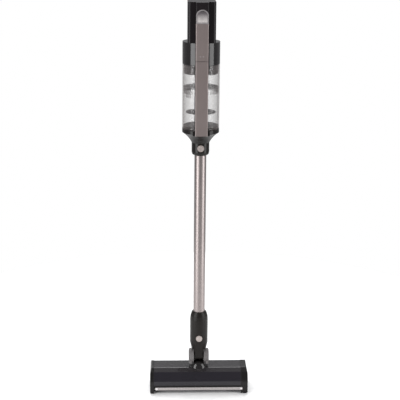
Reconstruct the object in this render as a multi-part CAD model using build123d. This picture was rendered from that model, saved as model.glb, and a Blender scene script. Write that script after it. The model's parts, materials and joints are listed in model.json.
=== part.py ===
from build123d import *
import math
import os

# Cordless stick vacuum, millimetres, +Z up, front towards -Y.
# Every piece is laid out about the wand's axis and moved by SHIFT_Y at the end, so that the
# origin is on the floor in the middle of the whole machine's footprint.

# ---- heights along the stick, from the floor up
deck_h = 70.0           # top of the floor head
pin_above_deck = 30.0   # pitch pin over the deck
conn_above_pin = 23.0   # lower connector's foot over the pitch pin
conn_len = 113.0
wand_gap = 452.0        # bare wand between the two sockets
neck_len = 35.0
flare_len = 29.0
rim_len = 10.0
bin_len = 174.0
body_len = 58.0         # motor housing
box_len = 106.0         # battery housing

# ---- floor head
head_w = 277.0
head_front = 45.0       # ahead of the wand's axis
head_rear = 50.0
deck_front = 19.0
deck_rear = 30.0
facet_run = 13.0
facet_drop = 8.0
window_low = 26.0
bar_low = 12.0
bar_high = 20.0
bar_depth = 3.5
bar_len = 249.0
shell = 2.5
left_cap_t = 11.0
right_cap_t = 19.5
cap_proud = 0.6
cap_lean = 3.5          # how far a cap's top leans in
lean_drop = 15.0        # over which the cap leans
foot_round = 6.0
cap_round = 1.0         # round a cap's outer face
edge_round = 1.8        # along the deck's front edges
rear_round = 5.0
floor_gap = 3.0         # under the base plate
roller_r = 21.5
roller_lift = 0.8
roller_y = -17.0
pile_t = 5.0
wheel_r = 9.0
wheel_w = 10.0
wheel_x = head_w / 2 - 43.5
wheel_y = 36.0
axle_r = 1.5
motor_r = 14.0
motor_y = 27.0
motor_z = 37.0
motor_len = 68.0
saddle_x = 40.0         # saddle under the motor, from the partition
saddle_w = 6.0
base_t = 2.8
pinion_r = 6.0
pulley_r = 12.0
belt_t = 1.5
belt_w = 6.0

# ---- swivel
ball_r = 26.0
ball_drop = 8.0         # ball centre under the deck
trunnion_r = 4.0
trunnion_end = 31.5     # behind the wand's axis
cheek_r = 20.0
cheek_out = 28.5
ear_out = 20.0
ear_low = 16.0          # ears and cheeks stay clear of the deck when the ball rolls
cheek_low = 17.0
tongue_half = 14.0
tongue_r = 13.0
pin_r = 4.0
air_r = 9.0             # airway through the tongue

# ---- wand and its sockets
tube_r = 16.0
tube_t = 1.5
socket_depth = 45.0
conn_r = 25.0
conn_foot_r = 20.5
neck_r = 23.75
duct_r = 14.5
button_r = 9.0
button_t = 5.0
button_proud = 0.9
button_travel = 2.2

# ---- handheld
bin_r = 49.5
bin_wall = 2.2
spine_w = 33.0
spine_proud = 12.5
cover_t = 2.0
notch_floor = 37.5      # flat of the bin's notch, from the axis
shroud_r = 17.0
filter_len = 26.0
ring_drop = 37.0        # inlet ring under the filter cup
ring_t = 1.6
skirt_t = 1.4
skirt_len = 15.0
tab_len = 24.0
foot_h = 10.0           # feet on the inlet ring
seam_above_bin = 13.0   # spine seam over the bin's top
panel_len = 54.0        # dark panel over the spine's upper cover
arch_len = 36.0
box_half = 36.5
box_front = 44.0
box_rear = 36.0
box_wall = 3.0
cap_len = 6.0
cell_r = 9.2
cell_len = 65.0
handle_rear = 128.0
handle_half = 16.0
grip_skin = 3.0
jack_r = 2.9
jack_len = 10.0
impeller_r = 27.0

# ---- fits
run = 0.05              # radial, a shaft in its bore
slip = 0.4              # pieces that slide past each other
air = 0.8               # pieces that only must not touch

# ---- places worked out from the sizes
pin_z = deck_h + pin_above_deck
conn_z = pin_z + conn_above_pin
conn_top = conn_z + conn_len
neck_z = conn_top + wand_gap
flare_z = neck_z + neck_len
rim_z = flare_z + flare_len
bin_z = rim_z + rim_len
body_z = bin_z + bin_len
box_z = body_z + body_len
top_z = box_z + box_len
tube_z0 = conn_top - socket_depth
tube_z1 = neck_z + socket_depth
spine_y = bin_r + spine_proud
half_spine = spine_w / 2
duct_half = half_spine - cover_t - 0.2
duct_front = spine_y - cover_t - 0.2
seam_z = body_z + seam_above_bin
panel_z = top_z - panel_len
cap_z = top_z - cap_len
filter_z = body_z - filter_len
ball_z = deck_h - ball_drop
roller_z = roller_r + roller_lift
head_half = head_w / 2
deck_x0 = left_cap_t - head_half
deck_x1 = head_half - right_cap_t
chamber_r = roller_r + 2.0
roller_x0 = deck_x0 + 13.0
roller_x1 = deck_x1 - 6.0
partition_x = deck_x0 + 10.0
lower_button_z = conn_z + 37.5
upper_button_z = neck_z + 22.0
SHIFT_Y = (spine_y - handle_rear) / 2


# ---- small makers
def block(x0, x1, y0, y1, z0, z1):
    return Pos((x0 + x1) / 2, (y0 + y1) / 2, (z0 + z1) / 2) * Box(x1 - x0, y1 - y0, z1 - z0)


def rod_z(r, z0, z1, x=0.0, y=0.0):
    return Pos(x, y, (z0 + z1) / 2) * Cylinder(r, z1 - z0)


def rod_x(r, x0, x1, y, z):
    return Pos((x0 + x1) / 2, y, z) * Rot(0, 90, 0) * Cylinder(r, x1 - x0)


def rod_y(r, y0, y1, x, z):
    return Pos(x, (y0 + y1) / 2, z) * Rot(90, 0, 0) * Cylinder(r, y1 - y0)


def along_x(face, x0, x1):
    # the face is drawn with its first coordinate along Y and its second along Z
    return extrude(Plane.YZ.offset(x0) * face, amount=x1 - x0)


def along_y(face, y0, y1):
    # the face is drawn with its first coordinate along X and its second along Z
    return extrude(Plane.XZ.offset(-y1) * face, amount=y1 - y0)


def turned(*points):
    # a solid of revolution about Z from (radius, height) points
    return revolve(Plane.XZ * make_face(Polyline(*points, close=True)), Axis.Z)


def save(name, shape):
    solids = [Pos(0, SHIFT_Y, 0) * solid for solid in shape.solids()]
    whole = solids[0] if len(solids) == 1 else Compound(children=solids)
    export_step(whole, f"parts/{name}.step")
    print(name, len(solids), round(whole.volume))


# ---- floor head
def window_curve():
    # an arc that leaves the front face upright and ends at the facet
    rise = deck_h - facet_drop - window_low
    run_back = head_front - deck_front - facet_run
    r = (run_back ** 2 + rise ** 2) / (2 * run_back)
    cy = r - head_front
    end = math.atan2(rise, -(deck_front + facet_run) - cy)
    mid = (end + math.pi) / 2
    return (
        (-head_front, window_low),
        (cy + r * math.cos(mid), window_low + r * math.sin(mid)),
        (-(deck_front + facet_run), deck_h - facet_drop),
    )


def head_side(low, grow=0.0):
    a, m, c = window_curve()
    edges = Line((-head_front, low), a) + ThreePointArc(a, m, c)
    edges += Polyline(
        c, (-deck_front, deck_h), (deck_rear, deck_h), (head_rear - 4, deck_h - 10),
        (head_rear, deck_h - 24), (head_rear, low), (-head_front, low),
    )
    face = make_face(edges)
    rear = [v for v in face.vertices() if v.Y > deck_h - 40 and v.X > deck_front]
    face = fillet(rear, rear_round)
    front = [v for v in face.vertices() if v.Y > c[1] - 1 and v.X < 0]
    face = fillet(front, edge_round)
    return offset(face, amount=grow, kind=Kind.INTERSECTION) if grow else face


def head_skin(x0, x1, low):
    return along_x(head_side(low), x0, x1) - along_x(head_side(low - 20, -shell), x0 - 1, x1 + 1)


def wheel_wells():
    well = block(-wheel_w / 2 - 1.5, wheel_w / 2 + 1.5, wheel_y - wheel_r - 2, wheel_y + wheel_r + 2,
                 0, 2 * wheel_r + 2)
    return Pos(wheel_x, 0, 0) * well + Pos(-wheel_x, 0, 0) * well


def screw_places():
    return [(x, y) for x in (-40.0, 60.0) for y in (19.0, head_rear - 8.0)]


def make_head_top_cover():
    body = head_skin(deck_x0, deck_x1, floor_gap + 4)
    body -= block(deck_x0 - 1, deck_x1 + 1, -head_front - 1, -head_front / 2, 0, deck_h - facet_drop - 2)
    body -= along_x(head_side(0, -shell - 0.01), deck_x0 - 1, deck_x1 + 1)
    a, m, c = window_curve()
    body -= block(deck_x0 - 1, deck_x1 + 1, -head_front - 1, c[0], 0, c[1])
    posts = Part()
    for x, y in screw_places():
        posts += rod_z(4, floor_gap + 5.8, deck_h, x, y)
    body += posts & along_x(head_side(0, -shell / 2), deck_x0, deck_x1)
    for x, y in screw_places():
        body -= rod_z(1.5, 0, floor_gap + 18, x, y)
    body -= Pos(0, 0, ball_z) * Sphere(ball_r + slip)
    body -= block(-ball_r + 4, ball_r - 4, -ball_r - 1, 0, ball_z - 6, ball_z + 2)
    return body


def make_swivel_cradle():
    top = deck_h - shell
    body = block(-ball_r - 6, ball_r + 6, -deck_front + 3, trunnion_end + 2, ball_z - 11, top)
    body -= Pos(0, 0, ball_z) * Sphere(ball_r + slip)
    body -= rod_z(ball_r - 2, ball_z - 12, ball_z)
    body -= rod_y(trunnion_r + run, 0, 41, 0, ball_z)
    body -= rod_x(chamber_r + 2.5, -60, 60, roller_y, roller_z)
    return body & along_x(head_side(0, -shell - 0.02), -60, 60)


def make_front_window():
    body = head_skin(deck_x0, deck_x1, floor_gap)
    a, m, c = window_curve()
    body &= block(deck_x0, deck_x1, -head_front - 1, c[0], window_low, c[1])
    return body


def bar_room(grow):
    return block(-bar_len / 2 - grow, bar_len / 2 + grow, -head_front - 2, bar_depth + 0.6 - head_front,
                 bar_low - grow, bar_high + grow)


def make_front_lip():
    y0 = -head_front
    back = y0 + bar_depth + 1.2
    lip = block(deck_x0, deck_x1, y0, y0 + shell, bar_high, window_low)
    rail = block(deck_x0, deck_x1, back, back + 1.3, bar_low, window_low)
    web = block(deck_x0, deck_x1, y0 + shell, back, window_low - 2, window_low)
    end = block(deck_x0, -bar_len / 2, y0, back, bar_low, bar_high)
    return lip + rail + web + end


def make_light_bar_lens():
    slot = Pos(0, (bar_low + bar_high) / 2) * SlotOverall(bar_len, bar_high - bar_low)
    return along_y(slot, -head_front, bar_depth - head_front)


def make_light_board():
    y0 = bar_depth - head_front
    body = block(-bar_len / 2 + 4, deck_x1 - 1, y0, y0 + 0.8, bar_low + 1, bar_high - 1)
    return body


def cap_side():
    face = head_side(0.0, 0.0)
    front = [v for v in face.vertices() if v.X < -head_front + 1 and v.Y < 1]
    grown = offset(fillet(front, 6), amount=cap_proud, kind=Kind.INTERSECTION)
    return grown & (Pos(0, 100) * Rectangle(300, 200))


def cap_outline(inner, side):
    # seen from the front: upright, then leaning in above, with a rounded foot
    outer = side * head_half
    top = deck_h + 2
    face = make_face(Polyline(
        (inner, 0), (outer, 0), (outer, top - lean_drop), (outer - side * cap_lean, top), (inner, top),
        close=True,
    ))
    feet = face.vertices().group_by(Axis.Y)[0].sort_by(Axis.X)
    inner_foot, outer_foot = (feet[0], feet[-1]) if side > 0 else (feet[-1], feet[0])
    face = fillet(outer_foot, foot_round)
    inner_foot = face.vertices().sort_by_distance((inner, 0, 0))[0]
    return fillet(inner_foot, foot_round / 3)


def end_cap(x0, x1, side):
    # side is +1 for the right cap and -1 for the left
    body = along_x(cap_side(), x0, x1)
    body &= along_y(cap_outline(x0 if side > 0 else x1, side), -90, 90)
    lean_line = deck_h + 2 - lean_drop
    edges = [e for e in body.edges()
             if side * e.center().X > head_half - cap_lean - 0.5 and e.center().Z > foot_round + 1
             and abs(e.center().Z - lean_line) > 0.1]
    body = fillet(edges, cap_round)
    # only the front foot reaches the floor
    body -= block(-200, 200, 14 - head_front, 90, -1, 1.6)
    return body


def make_left_end_cap():
    body = end_cap(-head_half, deck_x0, -1)
    body -= along_x(head_side(floor_gap + 4, -shell - 1.5), deck_x0 - 5, deck_x0 + 1)
    return body


def make_right_end_cap():
    body = end_cap(deck_x1, head_half, 1)
    body -= bar_room(slip)
    body -= along_x(head_side(floor_gap + 4, -shell - 1.5), deck_x1 - 1, head_half - 6)
    hub = rod_x(9, deck_x1 - 1, head_half - 6, roller_y, roller_z)
    body += hub
    body -= rod_x(6, deck_x1 - 2, head_half - 10, roller_y, roller_z)
    return body


def make_roller_bearing():
    x0 = deck_x1 + 0.5
    return rod_x(6, x0, x0 + 5, roller_y, roller_z) - rod_x(3 + run, x0 - 1, x0 + 6, roller_y, roller_z)


def make_roller_core():
    r = roller_r - pile_t
    body = rod_x(r, roller_x0, roller_x1, roller_y, roller_z)
    body -= rod_x(r - 2.5, roller_x0 - 1, roller_x1 - 6, roller_y, roller_z)
    body += rod_x(5, roller_x1, roller_x1 + 4, roller_y, roller_z)
    body += rod_x(3, roller_x1, deck_x1 + 6, roller_y, roller_z)
    for k in range(6):
        rib = block(0, 12, -1, 1, r - 6, r - 2)
        body += Pos(roller_x0, roller_y, roller_z) * Rot(60 * k, 0, 0) * rib
    return body


def make_roller_pile():
    body = rod_x(roller_r, roller_x0 + 1, roller_x1 - 1, roller_y, roller_z)
    return body - rod_x(roller_r - pile_t, roller_x0, roller_x1, roller_y, roller_z)


def make_drive_dog():
    # pulley outside the partition, dog inside the roller's open end
    dog_r = roller_r - pile_t - 2.5 - 4.0 - slip
    body = rod_x(pulley_r, deck_x0 + 1, deck_x0 + 1 + belt_w, roller_y, roller_z)
    body += rod_x(4, deck_x0 + 1, roller_x0, roller_y, roller_z)
    body += rod_x(dog_r, roller_x0 - 0.8, roller_x0 + 11, roller_y, roller_z)
    for k in range(6):
        lug = block(roller_x0 - 0.8, roller_x0 + 11, -1.5, 1.5, dog_r - 1, dog_r + 3)
        body += Pos(0, roller_y, roller_z) * Rot(60 * k + 30, 0, 0) * lug
    return body


def make_motor_pinion():
    body = rod_x(pinion_r, deck_x0 + 1, deck_x0 + 1 + belt_w, motor_y, motor_z)
    body += rod_x(1.5, deck_x0 + 1, partition_x + 16, motor_y, motor_z)
    return body


def make_drive_belt():
    # an open loop outside both pulleys, clear of them by the running gap
    gap = 0.3
    dy = motor_y - roller_y
    dz = motor_z - roller_z
    span = math.hypot(dy, dz)
    lean = math.degrees(math.atan2(dz, dy))

    def loop(grow):
        big = pulley_r + gap + grow
        small = pinion_r + gap + grow
        t = math.acos((big - small) / span)
        pts = [(big * math.cos(t), big * math.sin(t)),
               (span + small * math.cos(t), small * math.sin(t)),
               (span + small * math.cos(t), -small * math.sin(t)),
               (big * math.cos(t), -big * math.sin(t))]
        return make_face(Line(pts[0], pts[1]) + ThreePointArc(pts[1], (span + small, 0), pts[2])
                         + Line(pts[2], pts[3]) + ThreePointArc(pts[3], (-big, 0), pts[0]))

    ring = Pos(roller_y, roller_z) * Rot(0, 0, lean) * (loop(belt_t) - loop(0))
    return along_x(ring, deck_x0 + 1, deck_x0 + 1 + belt_w)


def make_brush_motor():
    x0 = partition_x + 2
    body = rod_x(motor_r, x0, x0 + motor_len, motor_y, motor_z)
    return body - rod_x(1.5 + run, x0 - 1, x0 + 20, motor_y, motor_z)


def make_base_plate():
    x0 = deck_x0
    x1 = deck_x1
    y0 = roller_y + chamber_r + 2
    body = block(x0, x1, y0, head_rear - 0.2, floor_gap, floor_gap + base_t)
    # the roller's chamber wall, open to the floor and to the window
    arc = rod_x(chamber_r + 2, partition_x, x1, roller_y, roller_z)
    arc -= rod_x(chamber_r, partition_x - 1, x1 + 1, roller_y, roller_z)
    arc &= block(x0, x1, roller_y - 8, 60, floor_gap, deck_h)
    body += arc
    body += block(x0, x1, y0 - 3, y0 + 1, floor_gap, floor_gap + 6)
    # partition beside the belt
    wall = along_x(head_side(floor_gap, -shell - 0.3), partition_x, partition_x + 1.8)
    wall -= rod_x(5, x0, partition_x + 3, roller_y, roller_z)
    wall -= rod_x(4, x0, partition_x + 3, motor_y, motor_z)
    wall -= block(x0, partition_x + 3, -head_front, bar_depth + 3.0 - head_front, 0, window_low)
    body += wall
    # saddle under the brush motor
    saddle = block(partition_x + saddle_x, partition_x + saddle_x + saddle_w, motor_y - 8, motor_y + 8,
                   floor_gap + base_t - 0.8, motor_z)
    saddle -= rod_x(motor_r, partition_x, 0, motor_y, motor_z)
    body += saddle
    # wells and axle bosses of the rear wheels
    for side in (-1, 1):
        x = side * wheel_x
        w = wheel_w / 2 + 1.5
        box = block(x - w - 2, x + w + 2, wheel_y - wheel_r - 4, head_rear - shell - 0.4, floor_gap,
                    2 * wheel_r + 3.5)
        body -= block(x - w, x + w, wheel_y - wheel_r - 2, wheel_y + wheel_r + 2, 0, floor_gap + 9)
        body += box - block(x - w, x + w, wheel_y - wheel_r - 2, wheel_y + wheel_r + 2, 0,
                            2 * wheel_r + 2)
    body -= rod_x(motor_r, partition_x, 0, motor_y, motor_z)
    for side in (-1, 1):
        x = side * wheel_x
        body -= rod_x(axle_r, x - wheel_w, x + wheel_w, wheel_y, wheel_r)
    body -= block(x0 - 1, x1 + 1, roller_y + chamber_r + 4.5, roller_y + chamber_r + 8.5, 0, floor_gap + 1.8)
    for x, y in screw_places():
        body -= rod_z(1.5, 0, floor_gap + 18, x, y)
        body -= rod_z(3, 0, floor_gap + 1.4, x, y)
    return body


def make_floor_seal():
    y0 = roller_y + chamber_r + 4.5
    return block(deck_x0 + 3, deck_x1 - 3, y0, y0 + 4, 0.8, floor_gap + 1.8)


def make_head_screws():
    body = Part()
    for x, y in screw_places():
        body += rod_z(1.5, floor_gap + 1.4, floor_gap + 14, x, y)
        head = rod_z(2.9, floor_gap - 0.2, floor_gap + 1.4, x, y)
        body += head - Pos(x, y, floor_gap) * Box(3.6, 0.8, 1.2)
    return body


def make_wheel_axles():
    return (rod_x(axle_r, wheel_x - wheel_w / 2 - 3.4, wheel_x + wheel_w / 2 + 3.4, wheel_y, wheel_r)
            + rod_x(axle_r, -wheel_x - wheel_w / 2 - 3.4, -wheel_x + wheel_w / 2 + 3.4, wheel_y, wheel_r))


def make_wheel(x):
    body = rod_x(wheel_r, x - wheel_w / 2, x + wheel_w / 2, wheel_y, wheel_r)
    body = chamfer(body.edges().filter_by(GeomType.CIRCLE), 1)
    for k in range(5):
        a = math.radians(72 * k)
        body -= rod_x(1.4, x - wheel_w, x + wheel_w, wheel_y + 4.6 * math.cos(a), wheel_r + 4.6 * math.sin(a))
    return body - rod_x(axle_r + run, x - wheel_w, x + wheel_w, wheel_y, wheel_r)


# ---- swivel
def knuckle_side(r, low):
    foot = min(2 * r, 28)
    return Pos(0, pin_z) * Circle(r) + Pos(0, (pin_z + low) / 2) * Rectangle(foot, pin_z - low)


def make_swivel_ball():
    ball = Pos(0, 0, ball_z) * Sphere(ball_r)
    ball &= block(-50, 50, -50, 50, ball_z - 3, ball_z + 50)
    ears = Part()
    for x0 in (tongue_half + slip, -ear_out):
        ears += along_x(knuckle_side(cheek_r - 4, ball_z + ear_low), x0, x0 + ear_out - tongue_half - slip)
    body = ball + ears
    body += rod_y(trunnion_r, 18, trunnion_end, 0, ball_z)
    body -= rod_x(tongue_r + 0.6, -tongue_half - slip, tongue_half + slip, 0, pin_z)
    body -= rod_z(air_r + 1, ball_z - 10, ball_z + 40)
    body -= rod_x(pin_r, -50, 50, 0, pin_z)
    return body


def make_cheek(side):
    x0 = tongue_half + slip
    body = along_x(knuckle_side(cheek_r, ball_z + cheek_low), x0, cheek_out)
    body -= Pos(0, 0, ball_z) * Sphere(ball_r + 0.02)
    outer = body.faces().sort_by(Axis.X)[-1]
    body = fillet(outer.edges(), 5)
    body -= along_x(knuckle_side(cheek_r - 4, ball_z), x0 - 1, ear_out)
    body -= rod_x(pin_r, 0, cheek_out - 3, 0, pin_z)
    return body if side > 0 else mirror(body, Plane.YZ)


def make_pitch_pins():
    pin = rod_x(pin_r, air_r + 1, cheek_out - 3.2, 0, pin_z)
    return pin + mirror(pin, Plane.YZ)


def make_neck_joint():
    body = along_x(Pos(0, pin_z) * Circle(tongue_r)
                   + Pos(0, pin_z + 14) * Rectangle(2 * tongue_r, 28), -tongue_half, tongue_half)
    body &= rod_z(17, 0, 400) + rod_x(tongue_r, -20, 20, 0, pin_z)
    body += rod_z(17, conn_z - 1, conn_z + 12)
    body -= rod_z(air_r, 0, 400)
    return body - rod_x(pin_r + run, -50, 50, 0, pin_z)


# ---- lower connector and wand
def make_lower_connector():
    body = turned((0, conn_z), (conn_foot_r, conn_z), (conn_r, conn_z + 20), (conn_r, conn_top - 23),
                  (conn_r - 1, conn_top - 13), (conn_r - 3.4, conn_top - 5), (tube_r + 3, conn_top),
                  (0, conn_top))
    body -= rod_z(17.02, conn_z - 1, conn_z + 12.02)
    body -= rod_z(duct_r, conn_z, tube_z0)
    body -= rod_z(tube_r + slip, tube_z0, conn_top + 1)
    body -= button_well(conn_r, lower_button_z)
    body -= spring_well(conn_r, lower_button_z)
    return body


def button_well(r, z):
    back = button_proud - r + button_t + button_travel + 0.1
    return rod_y(button_r + slip, -r - 5, back, 0, z)


def spring_well(r, z):
    back = button_proud - r + button_t + button_travel + 0.1
    return rod_y(3.2, back - 1, back + 1.0, 0, z)


def make_button(r, z):
    front = -r - button_proud
    body = rod_y(button_r, front, front + button_t, 0, z)
    front_rim = body.edges().filter_by(GeomType.CIRCLE).sort_by(Axis.Y)[0]
    body = fillet(front_rim, 0.8)
    body -= Pos(0, front, z) * Rot(90, 0, 0) * Torus(5.6, 0.35)
    return body


def make_wand_tube():
    return rod_z(tube_r, tube_z0, tube_z1) - rod_z(tube_r - tube_t, tube_z0 - 1, tube_z1 + 1)


def make_wand_end_rings():
    def ring(z0):
        r = tube_r - tube_t
        return rod_z(r, z0, z0 + 24) - rod_z(r - 1.2, z0 - 1, z0 + 25)
    return ring(tube_z0) + ring(tube_z1 - 24)


# ---- handheld: neck, duct and spine
def make_neck_housing():
    mid_r = (neck_r + bin_r) / 2
    outline = Polyline((0, neck_z), (neck_r - 6, neck_z), (neck_r - 1.6, neck_z + 3), (neck_r, neck_z + 9),
                       (neck_r, flare_z))
    outline += ThreePointArc((neck_r, flare_z), (mid_r - 1.8, flare_z + flare_len / 2 + 1.8), (bin_r, rim_z))
    outline += Polyline((bin_r, rim_z), (bin_r, bin_z), (0, bin_z), (0, neck_z))
    body = revolve(Plane.XZ * make_face(outline), Axis.Z)
    body += block(-duct_half, duct_half, -duct_front, -notch_floor, rim_z, bin_z)
    for side in (-1, 1):
        x = side * (half_spine + 3.4)
        body += block(x - 2.6, x + 2.6, -bin_r, -bin_r + 12, rim_z - 2, bin_z)
    body -= rod_z(tube_r + slip, neck_z - 1, tube_z1 + 0.6)
    channel = make_face(Polyline((-duct_front + 3, bin_z + 1), (-notch_floor - 3, bin_z + 1),
                                 (duct_r, tube_z1 + 9), (duct_r, tube_z1), (-duct_r, tube_z1),
                                 (-notch_floor - 3, rim_z - 6), (-duct_front + 3, rim_z + 3), close=True))
    body -= along_x(channel, -duct_half + 3, duct_half - 3)
    body -= button_well(neck_r, upper_button_z)
    return body


def spine_shell(z0, z1):
    body = block(-half_spine, half_spine, -spine_y, -spine_y + 14, z0, z1)
    front = body.edges().filter_by(Axis.Z).group_by(Axis.Y)[0]
    body = fillet(front, 2.6)
    hollow = half_spine - cover_t
    return body - block(-hollow, hollow, -spine_y + cover_t, -spine_y + 20, z0 - 1, z1 + 1)


def make_spine_lower_cover():
    return spine_shell(rim_z, seam_z - 0.3)


def make_spine_upper_cover():
    body = spine_shell(seam_z + 0.3, panel_z)
    lights = [(-3.8, seam_z + 12), (3.8, seam_z + 12)]
    for x, z in lights:
        body -= block(x - 1.6, x + 1.6, -spine_y - 1, -spine_y + 0.6, z - 0.8, z + 0.8)
    return body


def make_duct_channel():
    body = block(-duct_half, duct_half, -duct_front, -notch_floor - 1, bin_z + 0.2, body_z)
    inner = block(-duct_half + 1.6, duct_half - 1.6, -duct_front + 1.6, -notch_floor - 2.6, bin_z, body_z - 3)
    body -= inner
    return body - block(-9, 9, -notch_floor - 4, -notch_floor, filter_z - 55, filter_z - 28)


# ---- dust bin
def notched(r, flat, half):
    return Circle(r) - Pos(0, -flat - 50) * Rectangle(2 * half, 100)


def bin_slab(r, z0, z1, grow=0.0):
    face = notched(r, notch_floor - grow, half_spine + air + grow)
    return Pos(0, 0, z0) * extrude(face, amount=z1 - z0)


def make_bin_cup():
    z0 = bin_z + 0.4
    body = bin_slab(bin_r, z0, body_z - 1.2)
    body -= bin_slab(bin_r - bin_wall, z0 + 2.4, body_z, bin_wall)
    body -= block(-9, 9, -notch_floor - 1, -notch_floor + 4, filter_z - 55, filter_z - 28)
    return body


def make_bin_base():
    z0 = bin_z + 2.8
    body = bin_slab(bin_r - bin_wall - 0.2, z0, z0 + 5, bin_wall + 0.2)
    return body - rod_z(shroud_r + 0.1, z0 + 2, z0 + 6)


def make_cyclone_shroud():
    z0 = bin_z + 4.8
    body = rod_z(shroud_r, z0, filter_z)
    plate_z = bin_z + 43
    body += rod_z(40, plate_z, plate_z + 1.5) & bin_slab(40, plate_z - 1, plate_z + 2, bin_wall + air)
    return body - rod_z(shroud_r - 1.5, z0 + 2, filter_z + 1)


def make_inlet_skirt():
    wall_r = bin_r - bin_wall
    ring_z = filter_z - ring_drop
    ring_top = ring_z + ring_t
    body = bin_slab(wall_r, ring_z, ring_top, bin_wall + slip)
    body -= rod_z(shroud_r + 0.1, ring_z - 1, ring_top + 1)
    # a short wall hangs round the ring, open behind the duct
    skirt_r = wall_r - air
    skirt = rod_z(skirt_r, ring_z - skirt_len, ring_top) - rod_z(skirt_r - skirt_t, ring_z - 30, ring_top + 1)
    skirt -= block(-half_spine - 6, half_spine + 6, -bin_r, 0, ring_z - 30, ring_top + 1)
    # and a longer tab at the left
    tab_r = skirt_r - skirt_t - 0.2
    tab = rod_z(tab_r, ring_z - tab_len, ring_top) - rod_z(tab_r - skirt_t, ring_z - 30, ring_top + 1)
    tab &= block(-42, -27, -bin_r, -18, ring_z - 30, ring_top + 1)
    body += skirt
    body += tab
    for side in (-1, 1):
        x = side * (bin_r - 15)
        body += block(x - 3, x + 3, -29, -24, ring_z + ring_t / 2, ring_z + foot_h)
    return body


def make_filter_cup():
    r = bin_r - bin_wall - 0.8
    z1 = body_z - 1.2
    body = bin_slab(r - 1.5, filter_z, z1, bin_wall + 2.3)
    for k in range(3):
        z = filter_z + 5 + 7 * k
        body += bin_slab(r, z, z + 1.6, bin_wall + 0.8)
    body -= rod_z(32, filter_z + 3, z1 + 1)
    return body - rod_z(shroud_r - 3, filter_z - 1, z1)


def make_pre_filter():
    star = Circle(30) - Circle(14.5)
    for k in range(24):
        star -= Rot(0, 0, 15 * k) * Pos(30, 0) * Rectangle(8, 2.2)
    return Pos(0, 0, filter_z + 3) * extrude(star, amount=filter_len - 7)


def make_bin_seal():
    ring = rod_z(36, body_z - 1.2, body_z - 0.4) - rod_z(32.5, body_z - 2, body_z)
    return ring


def make_bin_latch():
    body = block(-11, 11, bin_r + 0.4, bin_r + 4, body_z - 34, body_z - 12)
    for k in range(4):
        z = body_z - 31 + 4 * k
        body += block(-9, 9, bin_r + 4, bin_r + 4.8, z, z + 1.4)
    return body


# ---- handheld: motor housing
def grille_sector(r0, r1, z0, z1, grow=0.0):
    ring = rod_z(r1, z0, z1) - rod_z(r0, z0 - 1, z1 + 1)
    room = block(26 - grow, 60, 6 - grow, 60, z0, z1)
    return (ring & room) + (ring & mirror(room, Plane.YZ))


def make_upper_housing():
    body = rod_z(bin_r, body_z, box_z) - rod_z(bin_r - shell, body_z - 1, box_z - shell)
    boss = block(-duct_half, duct_half, -duct_front, -bin_r + 4, body_z + 0.1, box_z)
    body += boss - rod_z(bin_r - shell, body_z - 1, box_z - shell)
    body -= grille_sector(bin_r - 10, bin_r + 3, body_z + 8, box_z - 8, 0.0)
    lip = rod_z(bin_r - shell, body_z, body_z + 2) - rod_z(36, body_z - 1, body_z + 3)
    return body + lip


def make_exhaust_grilles():
    z0 = body_z + 8
    z1 = box_z - 8
    body = grille_sector(bin_r - shell, bin_r + 0.4, z0, z1)
    n = 8
    pitch = (z1 - z0 - 4) / n
    for k in range(n):
        z = z0 + 2 + pitch * (k + 0.25)
        body -= grille_sector(bin_r - 10, bin_r + 3, z, z + pitch * 0.5, -3)
    return body


def make_motor_can():
    z0 = body_z + 22
    body = rod_z(28, z0, box_z - 10)
    body += rod_z(bin_r - shell, box_z - 10, box_z - 7)
    shroud = rod_z(impeller_r + 4, z0 - 16, z0) - rod_z(impeller_r + 1.5, z0 - 17, z0 - 1.5)
    body += shroud - rod_z(impeller_r - 6, z0 - 2, z0 + 1)
    body += rod_z(impeller_r + 1.5, z0 - 1.5, z0)
    return body - rod_z(2.5 + run, 0, top_z)


def make_impeller():
    z0 = body_z + 8
    body = rod_z(impeller_r, z0, z0 + 2) + rod_z(8, z0, z0 + 11)
    for k in range(9):
        blade = block(6, impeller_r - 1, -0.6, 0.6, z0 + 1, z0 + 9)
        body += Rot(0, 0, 40 * k) * blade
    return body + rod_z(2.5, z0, box_z - 12)


def make_main_board():
    z0 = box_z - 6.5
    body = block(-29, 29, -22, 22, z0, z0 + 1.4)
    for k in range(4):
        body += rod_z(2.6, z0 + 1.4, z0 + 3.6, -18 + 12 * k, 12)
    return body


# ---- battery housing
def arch(half, low, high, rise):
    left = (-half, high - rise)
    right = (half, high - rise)
    return make_face(Polyline(left, (-half, low), (half, low), right)
                     + ThreePointArc(right, (0, high), left))


def box_outline(grow=0.0):
    face = Pos(0, (box_rear - box_front) / 2) * Rectangle(2 * box_half, box_front + box_rear)
    face = fillet(face.vertices(), 8)
    return offset(face, amount=grow) if grow else face


def make_top_housing():
    body = Pos(0, 0, box_z) * extrude(box_outline(), amount=cap_z - box_z)
    panel = block(-half_spine, half_spine, -spine_y, -box_front + 8, panel_z, top_z)
    panel = fillet(panel.edges().filter_by(Axis.Z).group_by(Axis.Y)[0], 2.6)
    panel -= block(-20, 20, -box_front, 0, cap_z, top_z + 1)
    boss = block(-duct_half, duct_half, -duct_front, -box_front + 8, box_z, panel_z)
    body += panel + boss
    body -= Pos(0, 0, box_z + 3.6) * extrude(box_outline(-box_wall), amount=200)
    body -= along_y(arch(half_spine - 0.3, panel_z - 1, panel_z + arch_len, 13), -spine_y - 2, -spine_y + 2.2)
    return body


def make_display_frame():
    outer = arch(half_spine - 0.4, panel_z, panel_z + arch_len - 0.1, 13)
    inner = arch(half_spine - 3.2, panel_z + 3.2, panel_z + arch_len - 2.6, 12)
    return along_y(outer - inner, -spine_y - 0.5, -spine_y + 2.1)


def make_display_lens():
    inner = arch(half_spine - 3.3, panel_z + 3.3, panel_z + arch_len - 2.7, 12)
    return along_y(inner, -spine_y + 0.3, -spine_y + 2.1)


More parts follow.
